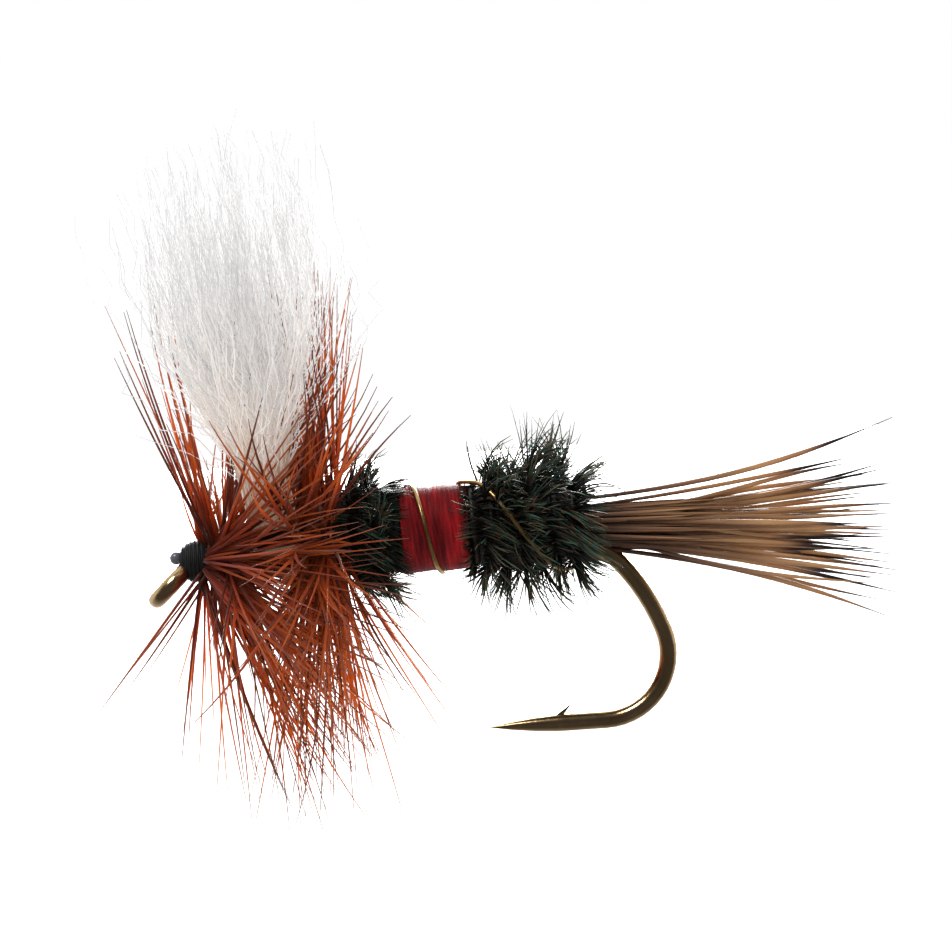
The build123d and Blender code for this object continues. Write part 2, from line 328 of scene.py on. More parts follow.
def bronzed_wire_finish():
    material, tree, shader = start_material("bronzed_wire")
    set_finish(shader, Metallic=1.0)
    patches = noise(tree, 0.9, 4.0)
    colour = ramp(tree, patches, (0.3, (0.42, 0.28, 0.14)), (0.7, (0.62, 0.43, 0.23)))
    tree.links.new(colour, shader.inputs["Base Color"])
    rough_between(tree, shader, noise(tree, 6.0), 0.13, 0.24)
    bump(tree, shader, noise(tree, 14.0), 0.004 * MM, 0.5)
    return material


def thread_finish(name, dark, light):
    material, tree, shader = start_material(name)
    grain = noise(tree, 1.0, 2.0, (4.0, 9.0, 1.0), uv_of(tree))
    colour = ramp(tree, grain, (0.3, dark), (0.75, light))
    tree.links.new(colour, shader.inputs["Base Color"])
    set_finish(shader, Roughness=0.58, Specular_IOR_Level=0.35)
    bump(tree, shader, grain, 0.01 * MM, 0.6)
    return material


def uv_of(tree):
    node = tree.nodes.new("ShaderNodeUVMap")
    node.uv_map = "length_and_round"
    return node.outputs["UV"]


def hackle_finish():
    material, tree, shader = start_material("brown_hackle")
    along, shade = attribute(tree, "along"), attribute(tree, "shade")
    face = ramp(
        tree, along,
        (0.0, (0.070, 0.014, 0.008)),
        (0.25, (0.14, 0.030, 0.016)),
        (0.70, (0.25, 0.066, 0.032)),
        (1.0, (0.24, 0.12, 0.10)),
    )
    glow = ramp(
        tree, along,
        (0.0, (0.42, 0.062, 0.009)),
        (0.25, (0.82, 0.215, 0.022)),
        (0.60, (0.98, 0.41, 0.060)),
        (0.85, (0.80, 0.36, 0.12)),
        (1.0, (0.45, 0.24, 0.18)),
    )
    # Random tone per barb, and painted shade: the loose barbs get low shade values, which darken their
    # through-light and glow as if they were lit only from the front.
    tone_and_painted_shade = ramp(
        tree, shade,
        (0.0, (0.20, 0.12, 0.12)),
        (0.12, (0.34, 0.22, 0.20)),
        (0.45, (0.84, 0.70, 0.64)),
        (1.0, (1, 1, 1)),
    )
    glow = blend_colour(tree, "MULTIPLY", 1.0, glow, tone_and_painted_shade)
    tree.links.new(face, shader.inputs["Base Color"])
    # The emission in the glow colour is painted glow: the barbs give off a faint light of their own.
    tree.links.new(glow, shader.inputs["Emission Color"])
    set_finish(shader, Roughness=0.34, IOR=1.5, Sheen_Weight=0.25, Sheen_Roughness=0.35,
               Emission_Strength=0.05)
    shader.inputs["Sheen Tint"].default_value = (0.85, 0.62, 0.60, 1)
    shine_through(tree, shader, glow, 0.62)
    return material


def white_hair_finish():
    material, tree, shader = start_material("white_hair")
    colour = ramp(
        tree, attribute(tree, "along"),
        (0.0, (0.46, 0.30, 0.22)),
        (0.26, (0.70, 0.55, 0.43)),
        (0.42, (0.94, 0.885, 0.835)),
        (0.70, (0.88, 0.865, 0.855)),
        (1.0, (0.55, 0.55, 0.55)),
    )
    varied = blend_colour(tree, "MULTIPLY", 0.6, colour, ramp(
        tree, attribute(tree, "shade"), (0.0, (0.80, 0.79, 0.79)), (0.5, (0.98, 0.98, 0.98))
    ))
    tree.links.new(varied, shader.inputs["Base Color"])
    # Emission in the hair's own colour is painted glow: the wing hair gives off a faint light of its own
    # that brightens the clump.
    tree.links.new(varied, shader.inputs["Emission Color"])
    set_finish(shader, Roughness=0.5, IOR=1.4, Emission_Strength=0.22)
    shine_through(tree, shader, varied, 0.30)
    return material


def tail_hair_finish():
    material, tree, shader = start_material("banded_tail_hair")
    shift = tree.nodes.new("ShaderNodeMath")
    shift.operation = "MULTIPLY_ADD"
    shift.inputs[1].default_value = 0.26
    tree.links.new(attribute(tree, "shade"), shift.inputs[0])
    tree.links.new(attribute(tree, "along"), shift.inputs[2])
    colour = ramp(
        tree, shift.outputs[0],
        (0.0, (0.060, 0.028, 0.018)),
        (0.34, (0.105, 0.050, 0.030)),
        (0.58, (0.29, 0.145, 0.070)),
        (0.76, (0.52, 0.29, 0.13)),
        (0.90, (0.42, 0.21, 0.095)),
        (0.97, (0.07, 0.036, 0.030)),
        (1.0, (0.028, 0.018, 0.018)),
    )
    streaks = noise(tree, 1.0, 3.0, (0.5, 4.0, 1.0), uv_of(tree))
    varied = blend_colour(tree, "MULTIPLY", 0.8, colour, ramp(
        tree, streaks, (0.3, (0.50, 0.46, 0.43)), (0.7, (1.0, 1.0, 1.0))
    ))
    tree.links.new(varied, shader.inputs["Base Color"])
    set_finish(shader, Roughness=0.36, IOR=1.45)
    shine_through(tree, shader, varied, 0.25)
    bump(tree, shader, streaks, 0.01 * MM, 0.5)
    return material


def peacock_finish():
    material, tree, shader = start_material("peacock_flue")
    hues = ramp(
        tree, noise(tree, 2.2, 3.0),
        (0.36, (0.17, 0.085, 0.050)),
        (0.45, (0.13, 0.105, 0.052)),
        (0.52, (0.020, 0.15, 0.115)),
        (0.57, (0.090, 0.13, 0.062)),
        (0.64, (0.16, 0.095, 0.060)),
    )
    # lit paints light and shade: the barbules show their hues only towards their tips, brightened as if
    # lit through, and those lying flat on the body, with low shade values, stay near black as painted
    # shade.
    out = ramp(tree, attribute(tree, "along"), (0.35, (0, 0, 0)), (0.95, (1, 1, 1)))
    lit = blend_colour(tree, "MULTIPLY", 1.0, out, ramp(
        tree, attribute(tree, "shade"), (0.15, (0.15, 0.15, 0.15)), (0.85, (1, 1, 1))
    ))
    colour = blend_colour(tree, "MIX", lit, (0.006, 0.0055, 0.0045), hues)
    tree.links.new(colour, shader.inputs["Base Color"])
    set_finish(shader, Roughness=0.40, Specular_IOR_Level=0.22)
    return material


def floss_finish():
    """Satin filaments round the body, at a small slant."""
    material, tree, shader = start_material("red_floss")
    place = tree.nodes.new("ShaderNodeTexCoord")
    slant = tree.nodes.new("ShaderNodeMapping")
    slant.inputs["Rotation"].default_value = (0, math.radians(7), 0)
    tree.links.new(place.outputs["Object"], slant.inputs["Vector"])
    fine = noise(tree, 1 / MM, 3.0, (16.0, 0.7, 0.9), slant.outputs["Vector"])
    folds = noise(tree, 1 / MM, 2.0, (3.2, 0.4, 0.5), slant.outputs["Vector"])
    filaments = blend_colour(tree, "MIX", 0.6, fine, folds)
    colour = ramp(
        tree, filaments, (0.36, (0.050, 0.001, 0.002)), (0.50, (0.16, 0.002, 0.004)),
        (0.64, (0.30, 0.005, 0.009)),
    )
    tree.links.new(colour, shader.inputs["Base Color"])
    set_finish(shader, Roughness=0.5, Specular_IOR_Level=0.12)
    bump(tree, shader, filaments, 0.06 * MM, 1.0)
    return material


def gold_finish():
    material, tree, shader = start_material("gold_wire")
    colour = ramp(tree, noise(tree, 2.0), (0.3, (0.42, 0.27, 0.10)), (0.7, (0.66, 0.46, 0.20)))
    tree.links.new(colour, shader.inputs["Base Color"])
    rough_between(tree, shader, noise(tree, 9.0), 0.22, 0.38)
    set_finish(shader, Metallic=1.0)
    bump(tree, shader, noise(tree, 16.0), 0.003 * MM, 0.5)
    return material


def cement_finish():
    material, tree, shader = start_material("head_cement")
    colour = ramp(tree, noise(tree, 3.0), (0.3, (0.03, 0.034, 0.042)), (0.7, (0.10, 0.11, 0.13)))
    tree.links.new(colour, shader.inputs["Base Color"])
    rough_between(tree, shader, noise(tree, 5.0), 0.16, 0.32)
    set_finish(shader, Coat_Weight=0.6, Coat_Roughness=0.12)
    bump(tree, shader, noise(tree, 7.0), 0.006 * MM, 0.6)
    return material


def grained_finish(name, dark, light):
    """Quill, lashed thread or lashed hair, in a fine grain between two colours."""
    material, tree, shader = start_material(name)
    colour = ramp(tree, noise(tree, 3.0), (0.3, dark), (0.7, light))
    tree.links.new(colour, shader.inputs["Base Color"])
    rough_between(tree, shader, noise(tree, 8.0), 0.35, 0.55)
    bump(tree, shader, noise(tree, 12.0), 0.008 * MM, 0.6)
    return material


wire_metal = bronzed_wire_finish()
black_thread = thread_finish("black_thread", (0.0025, 0.0025, 0.003), (0.010, 0.011, 0.013))
brown_hackle = hackle_finish()
white_hair = white_hair_finish()
tail_brown = tail_hair_finish()
peacock = peacock_finish()
red_floss = floss_finish()
gold = gold_finish()
cement = cement_finish()
brown_quill = grained_finish("brown_quill", (0.05, 0.012, 0.008), (0.16, 0.045, 0.02))
dark_quill = grained_finish("peacock_quill", (0.004, 0.003, 0.002), (0.014, 0.009, 0.006))
lashed_thread = grained_finish("lashed_thread", (0.0025, 0.0025, 0.003), (0.010, 0.011, 0.013))
lashed_hair = grained_finish("lashed_hair", (0.46, 0.30, 0.22), (0.70, 0.55, 0.43))


# ---------------------------------------------------------------- pieces that stay as built

def keep(node, material):
    """A built piece that stays as it is, with its own finish."""
    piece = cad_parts[node]
    piece.data.materials.clear()
    piece.data.materials.append(material)


# ---------------------------------------------------------------- thread, quills and floss

def wound(name, strand_radius, points, material, slot, *nodes, sides=6):
    """One strand of even thickness that makes a whole winding."""
    strands = Strands(sides)
    strands.add(points, [strand_radius] * len(points), 0.5)
    strands.make(name, material, slot, *nodes)


def make_head():
    """Thread head: two layers of turns over a solid core."""
    front, back = span("head_wraps")
    full = half_height("head_wraps")
    length = back - front
    profile = ((0.0, 0.50), (0.15, 0.74), (0.35, 0.93), (0.6, 1.0), (0.85, 0.93), (1.0, 0.74))

    def radius_at(x, angle):
        t = (x - front) / length
        for (t0, r0), (t1, r1) in zip(profile, profile[1:]):
            if t <= t1:
                return full * mix(r0, r1, smooth((t - t0) / (t1 - t0)))
        return full * profile[-1][1]

    thread = 0.036 * MM
    strands = Strands(6)
    rings = 5
    core = [Vector((mix(front, back, i / rings), 0, shank_z)) for i in range(rings + 1)]
    low = coil(front + thread, back - thread, lambda x, a: radius_at(x, a) - thread, 13.5, 26)
    strands.add(low, [thread] * len(low), 0.4)
    cross = coil(back - thread, front + 2 * thread,
                 lambda x, a: radius_at(x, a) - 0.4 * thread + 0.3 * thread * math.sin(3 * a),
                 6.3, 26, 1.0)
    strands.add(cross, [thread] * len(cross), 0.7)
    strands.make("thread_head", black_thread, "black_thread", "head_wraps")
    inner = Strands(24)
    inner.add(core, [radius_at(p.x, 0) - 1.4 * thread for p in core], 0.2)
    inner.make("thread_head_core", black_thread, "black_thread", "head_wraps")


def make_figure_eight():
    """Crossed turns between the two wings, the last ones raised on the first."""
    front, back = span("figure_eight_wraps")
    full = half_height("figure_eight_wraps")
    strands = Strands(6)
    for start, end, turns, lift in ((front, back, 16, 0), (back, front, 5, 0.5), (front, back, 4, 0.8)):
        way = THREAD if end > start else -THREAD
        path = coil(start + way, end - way, lambda x, a: full - THREAD + lift * THREAD, turns, 24, turns)
        strands.add(path, [THREAD] * len(path), 0.5)
    strands.make("figure_eight_turns", black_thread, "black_thread", "figure_eight_wraps")


def make_dam():
    """Two layers of turns that climb towards the wings and prop them up."""
    front, back = span("wing_dam_wraps")
    full = half_height("wing_dam_wraps")
    strands = Strands(6)
    for lift in (0, 1.2):
        path = coil(front + THREAD, back - THREAD,
                    lambda x, a: mix(wrapped_radius, full, (x - front) / (back - front)) + lift * THREAD,
                    6, 24, lift)
        strands.add(path, [THREAD] * len(path), 0.5)
    strands.make("dam_turns", black_thread, "black_thread", "wing_dam_wraps")


def make_post(wing, side):
    """Oval turns up the foot of one wing."""
    up, along, across = wing_axes(side)
    root = Vector((wing_x, side * WING_ASIDE, shank_z))
    half_long, half_wide = 0.80 * MM, 0.46 * MM
    lowest, highest = 0.62 * MM, 1.28 * MM
    turns, steps = 9, 20
    points = []
    for i in range(turns * steps + 1):
        angle = TURN * i / steps
        height = mix(lowest, highest, i / (turns * steps))
        points.append(root + up * height + along * (math.cos(angle) * half_long)
                      + across * (math.sin(angle) * half_wide))
    wound(wing + "_post_turns", THREAD, points, black_thread, "black_thread", wing + "_post_wraps")


def make_tag():
    """Cut end of the tying thread under the head."""
    low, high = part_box("thread_tag")
    top = Vector((low.x + 0.06 * MM, 0, high.z + 0.1 * MM))
    tag = bent_fibre(top, Vector((0.2, 0, -1)), 0.62 * MM, 0.25, X_AXIS, 5)
    wound("thread_tag_end", 0.05 * MM, tag, black_thread, "black_thread", "thread_tag", sides=8)


def make_floss():
    """Flat floss in close, slack turns: a lumpy sheath with loose filaments that slant across it."""
    front, back = span("floss_band")
    length = back - front
    rng = random.Random(FLOSS_SEED)
    lumps = wander(rng, 9)
    knots = 28
    rings = [mix(front, back, i / knots) for i in range(knots + 1)]

    def surface(x):
        f = min(1.0, max(0.0, (x - front) / length))
        ends = 0.05 * MM * (1 - smooth(f / 0.25)) - 0.05 * MM * (1 - smooth((1 - f) / 0.15))
        return floss_radius - 0.07 * MM + 0.08 * MM * lumps(9 * f) + ends

    sheath = Strands(64)
    sheath.add([Vector((x, 0, body_z)) for x in rings], [surface(x) for x in rings], 0.5)
    sheath.make("floss_sheath", red_floss, "red_floss", "floss_band")

    strands = Strands(5)
    for _ in range(150):
        x = rng.uniform(front, back)
        slide = rng.gauss(0.10, 0.22) * MM
        start = rng.uniform(0, TURN)
        turns = rng.uniform(0.35, 0.9)
        thick = rng.uniform(0.008, 0.022) * MM
        wave, phase = rng.uniform(0, 0.06) * MM, rng.uniform(0, TURN)
        points = []
        steps = round(28 * turns)
        for i in range(steps + 1):
            t = i / steps
            angle = start + TURN * turns * t
            place = x + slide * t + wave * math.sin(2 * angle + phase)
            place = min(back - thick, max(front + thick, place))
            sunk = 0.03 * MM * (1 - math.sin(math.pi * t)) ** 3
            points.append(Vector((place, 0, body_z)) + round_the_shank(angle) * (surface(place) - sunk))
        strands.add(points, [thick] * len(points), rng.random())
    strands.make("floss_filaments", red_floss, "red_floss", "floss_band")


def make_hackle_stem(name, node, thick, full):
    """Quill of a hackle in close turns. full is the radius over the turns."""
    front, back = span(node)
    centre = middle(node).z
    turns = (back - front - 2 * thick) / (1.7 * thick)
    path = coil(front + thick, back - thick, lambda x, a: full - thick, turns, 24, 0.0, lambda x: centre)
    wound(name, thick, path, brown_quill, "brown_quill", node)


def make_herl_stem(name, node):
    """Quill of a peacock herl in close turns round the body."""
    front, back = span(node)
    thick = 0.11 * MM
    turns = (back - front - 2 * thick) / (1.9 * thick)
    path = coil(front + thick, back - thick, lambda x, a: quill_radius * body_at(x)[1] - thick, turns, 24,
                0.0, lambda x: body_at(x)[0])
    wound(name, thick, path, dark_quill, "peacock_quill", node)


# ---------------------------------------------------------------- herl

def rib_tree():
    """The rib's surface points, to part the flue round it."""
    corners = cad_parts["rib_wire"].data.vertices
    tree = KDTree(len(corners))
    for i, corner in enumerate(corners):
        tree.insert(corner.co, i)
    tree.balance()
    return tree


def wander(rng, count):
    """A smooth random course from 0 to 1 that is read at a place from 0 to count."""
    knots = [rng.random() for _ in range(count + 2)]
    return lambda t: mix(knots[int(t)], knots[int(t) + 1], smooth(t - int(t)))


def make_flue(name, node, count, turns, pressed, seed):
    """Barbules down both edges of a quill wound round the body: some lie flat, some stand in tufts.

    pressed is the length at the back end where the tufts are pressed down.
    """
    rng = random.Random(seed)
    front, back = span(node)
    rib = rib_tree()
    strands = Strands(3)
    knots = round(turns * 9)
    taper = (1.0, 1.1, 1.0, 0.85, 0.62, 0.22)
    rib_end = 0.7 * MM  # the rib isn't kept clear this near to the back end
    edges = {}
    for side in (-1, 1):
        edges[side] = [wander(rng, knots) for _ in range(4)]
    for i in range(count):
        t = (i + rng.random()) / count
        side = rng.choice((-1, 1))
        stand, sweep, curl, reach = (course(t * knots) for course in edges[side])
        stand = smooth(stand * 1.7 - 0.45) * (1 if rng.random() < 0.7 else rng.random())
        x = mix(front, back, t) + side * 0.10 * MM + rng.gauss(0, 0.03) * MM
        x = min(back - 0.02 * MM, max(front + 0.02 * MM, x))
        stand *= smooth((back - x) / pressed)
        angle = TURN * turns * t + rng.gauss(0, 0.03)
        centre_z, share = body_at(x)
        out = round_the_shank(angle)
        round_way = X_AXIS.cross(out)
        start = Vector((x, 0, centre_z)) + out * (quill_radius * share - 0.08 * MM)
        lean = side * mix(1.30, 0.24, stand) + 0.34 * stand + rng.gauss(0, 0.09)
        twist = mix(-0.55, 0.75, sweep) + rng.gauss(0, 0.08)
        heading = out * math.cos(lean) + X_AXIS * math.sin(lean) + round_way * twist
        length = mix(0.75, mix(1.6, 3.0, reach), stand) * rng.uniform(0.55, 1.05) * MM
        near_end = smooth((x - front) / (0.45 * MM)) * smooth((back - x) / (0.45 * MM))
        if side * (x - (front + back) / 2) > 0 or back - x < 0.5 * MM:
            length *= mix(0.45, 1.0, near_end)
        lies_flat = stand < 0.35
        if lies_flat:
            bend, way = rng.uniform(0.2, 0.9), -out
        else:
            bend, way = mix(-0.9, 1.9, curl) + rng.gauss(0, 0.20), round_way * 0.7 + X_AXIS
        points = bent_fibre(start, heading, length, bend, way, 5)
        under_rib = over_rib(rib, points[2:], centre_z) and rng.random() < 0.7
        if under_rib and x < back - rib_end:
            continue
        thick = rng.uniform(0.022, 0.038) * MM
        radii = [thick * share for share in taper]
        # Barbules lying flat get lower shade values, which paint shade on them in the flue's material.
        strands.add(points, radii, rng.random() * (0.45 if lies_flat else 1.0))
    strands.make(name, peacock, "peacock_flue", node)


def over_rib(rib, points, centre_z):
    """Whether one of the points lies on the outside of the rib."""
    for point in points:
        near, _, apart = rib.find(point)
        if apart > 0.14 * MM:
            continue
        reach = math.hypot(point.y, point.z - centre_z)
        if reach > math.hypot(near.y, near.z - centre_z) - 0.05 * MM:
            return True
    return False


# ---------------------------------------------------------------- hackle

def make_hackle(quill, count, leans, limits, seed):
    """Barbs of one wound hackle in small locks that cross.

    leans gives the mean lean to the tail and its spread, in radians, at eight even places round
    the shank, from the top by the left side. limits are the least and the most lean.
    """
    rng = random.Random(seed)
    front, back = span(quill)
    front -= 0.25 * MM
    centre = middle(quill).z
    strands = Strands(4)
    lock = 4
    for i in range(count // lock):
        lock_x = mix(front, back, (i + rng.random()) / (count // lock))
        web = i % 7 == 0
        lock_angle = rng.uniform(0, TURN)
        place = lock_angle / TURN * len(leans)
        before, after = leans[int(place)], leans[(int(place) + 1) % len(leans)]
        mean, spread = (mix(a, b, place - int(place)) for a, b in zip(before, after))
        least = limits[0] * max(0.3, math.cos(lock_angle))
        lock_lean = min(limits[1], max(least, rng.gauss(mean, 2 * spread if web else spread)))
        beside = math.sin(lock_angle) ** 2
        lock_twist = rng.gauss(0, 0.10)
        lock_bend = rng.gauss(0.04, 0.20) + 0.30 * beside * max(0.0, lock_lean)
        for _ in range(lock):
            lean = lock_lean + rng.gauss(0, 0.07)
            angle = lock_angle + rng.gauss(0, 0.08)
            out = round_the_shank(angle)
            round_way = X_AXIS.cross(out)
            start = Vector((lock_x + rng.gauss(0, 0.06) * MM, 0, centre)) + out * BARB_ROOT
            heading = out * math.cos(lean) + X_AXIS * math.sin(lean)
            heading += round_way * (lock_twist + rng.gauss(0, 0.05))
            if web:
                reach = rng.uniform(0.18, 0.42)
            elif rng.random() < 0.22:
                reach = rng.uniform(0.5, 0.85)
            else:
                reach = rng.uniform(0.88, 1.04)
            reach *= 1 + 0.05 * max(0.0, -out.z)
            length = hackle_reach * reach * (1 - 0.30 * max(0.0, lean - 0.35)) - BARB_ROOT
            way = X_AXIS + round_way * rng.uniform(-0.8, 0.8)
            bend = lock_bend + rng.gauss(0, 0.06)
            points = bent_fibre(start, heading, length, bend, way, BARB_STEPS)
            strands.add(points, barb_radii(rng.uniform(0.046, 0.074) * MM), rng.random())
    return strands


def barb_radii(thick):
    return [thick * (1 - 0.82 * (k / BARB_STEPS) ** 1.8) for k in range(BARB_STEPS + 1)]


def add_loose_barbs(strands, x):
    """Longer barbs that leave the front hackle alone, the same on both sides of the shank.

    Each has its rise and its reach to the side at the start, how far it bends up, and a length.
    """
    rng = random.Random(LOOSE_HACKLE_SEED)
    barbs = (
        (0.92, 0.35, 0.22, 7.6), (0.78, 0.42, 0.36, 8.2), (0.66, 0.40, 0.45, 8.6),
        (0.55, 0.50, 0.42, 8.0), (0.47, 0.42, 0.58, 8.6), (0.36, 0.50, 0.62, 8.2),
        (0.30, 0.45, 0.35, 6.5), (0.18, 0.50, 0.40, 7.0), (0.10, 0.50, 0.15, 5.0),
        (-0.04, 0.45, 0.10, 6.4), (-0.14, 0.50, -0.15, 7.6), (-0.24, 0.45, 0.22, 7.8),
        (-0.34, 0.50, -0.10, 8.0), (1.92, 0.12, 0.20, 8.9), (2.02, 0.25, 0.10, 7.8),
        (-2.28, 0.30, 0.0, 6.2), (-2.18, 0.18, 0.05, 5.0),
    )
    for side in (-1, 1):
        for rise, aside, bend, length in barbs:
            rise += rng.gauss(0, 0.025)
            heading = Vector((math.cos(rise), side * aside, math.sin(rise)))
            start = Vector((x + rng.uniform(0, 0.4) * MM, side * BARB_ROOT, shank_z))
            points = bent_fibre(start, heading, length * MM, bend, Vector((-0.2, 0, 1)), BARB_STEPS)
            # Low shade values paint shade on these barbs: their through-light and glow come out darker.
            strands.add(points, barb_radii(rng.uniform(0.058, 0.078) * MM), rng.uniform(0, 0.22))


# ---------------------------------------------------------------- wings

def wing_axes(side):
    """Up the wing, along the shank and across both."""
    upright = math.cos(WING_LEAN)
    up = Vector((-math.sin(WING_LEAN), side * math.sin(WING_SPLAY) * upright,
                 math.cos(WING_SPLAY) * upright))
    along = X_AXIS - up * up.dot(X_AXIS)
    along.normalize()
    return up, along, up.cross(along)


def make_wing(name, node, side, count, seed):
    """One clump of crinkled hair that opens from its posted root into a ragged brush."""
    rng = random.Random(seed)
    up, along, across = wing_axes(side)
    root = Vector((wing_x + 0.05 * MM, side * WING_ASIDE, shank_z))
    reach = 15.4 * MM
    tied = 2.7 * MM  # the clump opens above this height
    strands = Strands(3)
    steps = 16
    for _ in range(count):
        radius = math.sqrt(rng.random())
        turn = rng.uniform(0, TURN)
        u, v = radius * math.cos(turn), radius * math.sin(turn)
        length = reach * (rng.uniform(0.50, 0.86) if rng.random() < 0.84 else rng.uniform(0.82, 1.0))
        stray = rng.uniform(1.1, 1.45) if rng.random() < 0.14 else 1.0
        waves = rng.uniform(1.5, 3.4) * MM
        swing = rng.uniform(0.05, 0.16) * MM * (1.8 if stray > 1 else 1.0)
        phase_u, phase_v = rng.uniform(0, TURN), rng.uniform(0, TURN)
        drift_u, drift_v = rng.gauss(0.15, 0.65) * MM, rng.gauss(0, 0.5) * MM
        opens = rng.uniform(6.0, 9.0) * MM
        if rng.random() < 0.06:
            stray, length = rng.uniform(1.4, 1.8), reach * rng.uniform(0.35, 0.62)
            waves, swing, opens = rng.uniform(0.9, 1.6) * MM, rng.uniform(0.12, 0.24) * MM, 5.0 * MM
        points = []
        for k in range(steps + 1):
            height = k / steps * length
            opening = smooth((height - tied) / opens)
            wide = mix(0.80, 2.75 * stray, opening) * MM
            deep = mix(0.40, 1.75 * stray, opening) * MM
            crinkle = swing * smooth((height - 1.5 * MM) / (4 * MM))
            a = u * wide + drift_u * opening + crinkle * math.sin(TURN * height / waves + phase_u)
            b = v * deep + drift_v * opening + crinkle * math.sin(TURN * height / (1.3 * waves) + phase_v)
            points.append(root + up * height + along * a + across * b)
        thick = rng.uniform(0.022, 0.036) * MM
        radii = [thick * (1 - 0.72 * (k / steps) ** 2) for k in range(steps + 1)]
        strands.add(points, radii, rng.random())
    strands.make(name, white_hair, "white_hair", node)


# ---------------------------------------------------------------- tail

def make_tail():
    """Locks of banded hair from the end of the body, with a few hairs that stand away."""
    rng = random.Random(TAIL_SEED)
    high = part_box("tail_hair")[1]
    strands = Strands(5)
    start_x = body_back - 0.5 * MM
    tip_x = high.x + 0.5 * MM
    locks = []
    for i in range(11):
        locks.append((mix(2.15, -1.45, i / 10) + rng.uniform(-0.15, 0.15), rng.uniform(-1.2, 1.2)))
    hairs = []
    for z, y in locks:
        for _ in range(rng.randint(3, 5)):
            hairs.append((z + rng.gauss(0, 0.30), y + rng.gauss(0, 0.3), rng.uniform(0.86, 1.0), 0.0))
    hairs.append((3.95, -0.3, 0.96, 1.0))
    hairs.append((-2.75, -0.4, 0.94, 0.2))
    hairs.append((-2.15, 0.2, 0.92, 0.1))
    for z, y, reach, lift in hairs:
        share = (z - 0.5) / 3.2
        start = Vector((start_x, 0.30 * y * MM, root_z + (share * 0.60 + rng.gauss(0, 0.11)) * MM))
        end = Vector((mix(start_x, tip_x, reach), y * MM, z * MM))
        points = []
        steps = 14
        sway = rng.gauss(0, 0.10) * MM
        fan = rng.uniform(0.45, 0.85) if z > 0.6 else rng.uniform(0.0, 0.4)
        phase = rng.uniform(0, TURN)
        for k in range(steps + 1):
            t = k / steps
            spread = mix(t, t * t, fan + 0.4 * lift)
            x = mix(start.x, end.x, t)
            y_here = mix(start.y, end.y, spread) + sway * math.sin(math.pi * t + phase)
            z_here = mix(start.z, end.z, spread) + sway * math.sin(TURN * t + phase)
            points.append(Vector((x, y_here, z_here)))
        thick = rng.uniform(0.058, 0.092) * MM
        radii = []
        for k in range(steps + 1):
            t = k / steps
            radii.append(thick * (0.75 + 0.35 * smooth(t / 0.6)) * (1 - 0.90 * smooth((t - 0.66) / 0.34)))
        strands.add(points, radii, rng.random(), 0.6, Vector((0, 1, 0)))
    add_short_hairs(strands, tip_x, rng)
    strands.make("tail_hairs", tail_brown, "tail_hair", "tail_hair")


def add_short_hairs(strands, tip_x, rng):
    """Shorter hairs that fill the tail's root out to the windings round it."""
    count = 84
    for i in range(count):
        reach = 0.62 * MM * math.sqrt((i + 0.5) / count)
        offset = round_the_shank(GOLDEN_TURN * i) * reach
        start = Vector((body_back - 1.6 * MM, 0, root_z)) + offset
        share = rng.uniform(0.28, 0.55)
        end = Vector((mix(body_back, tip_x, share), 0, mix(root_z, 0.4 * MM, share))) + offset * 1.5
        end += Vector((0, rng.gauss(0, 0.12), rng.gauss(0, 0.12))) * MM
        points = [start.lerp(end, k / 6) for k in range(7)]
        thick = rng.uniform(0.062, 0.082) * MM
        radii = [thick * (1 - 0.9 * smooth((k - 3) / 3)) for k in range(7)]
        strands.add(points, radii, rng.random(), share=0.6)


# ---------------------------------------------------------------- the fly

keep("hook", wire_metal)
keep("rib_wire", gold)
keep("head_cement", cement)
for node in ("thread_base", "tail_tie_wraps", "butt_tie_wraps"):
    keep(node, lashed_thread)
keep("wing_butts", lashed_hair)
make_head()
make_figure_eight()
make_dam()
make_post("left_wing", -1)
make_post("right_wing", 1)
make_tag()
make_hackle_stem("front_hackle_stem", "front_hackle_quill", 0.15 * MM, half_height("front_hackle_quill"))
make_hackle_stem("rear_hackle_stem", "rear_hackle_quill", 0.16 * MM, 1.12 * MM)
make_herl_stem("front_herl_stem", "front_herl_quill")
make_herl_stem("rear_herl_stem", "rear_herl_quill")
make_floss()
make_flue("rear_herl_barbules", "rear_herl_flue", 3200, 7, 0.2 * MM, 3)
make_flue("front_herl_barbules", "front_herl_flue", 1900, 3.6, 1.5 * MM, 4)
fibres = make_hackle("front_hackle_quill", 312,
                     ((-0.07, 0.16), (0.46, 0.25), (0.70, 0.22), (0.44, 0.25),
                      (0.20, 0.20), (0.20, 0.22), (0.25, 0.30), (0.0, 0.17)), (-0.38, 0.85), 8)
add_loose_barbs(fibres, span("front_hackle_quill")[0])
fibres.make("front_hackle_fibres", brown_hackle, "brown_hackle", "front_hackle_barbs")
fibres = make_hackle("rear_hackle_quill", 392,
                     ((0.02, 0.10), (0.03, 0.18), (-0.12, 0.22), (-0.06, 0.18),
                      (-0.02, 0.16), (-0.02, 0.18), (0.0, 0.20), (0.02, 0.11)), (-0.50, 0.32), 9)
fibres.make("rear_hackle_fibres", brown_hackle, "brown_hackle", "rear_hackle_barbs")
make_wing("left_wing_hair", "left_wing", -1, 640, 11)
make_wing("right_wing_hair", "right_wing", 1, 640, 12)
make_tail()


# ---------------------------------------------------------------- floor, light and camera

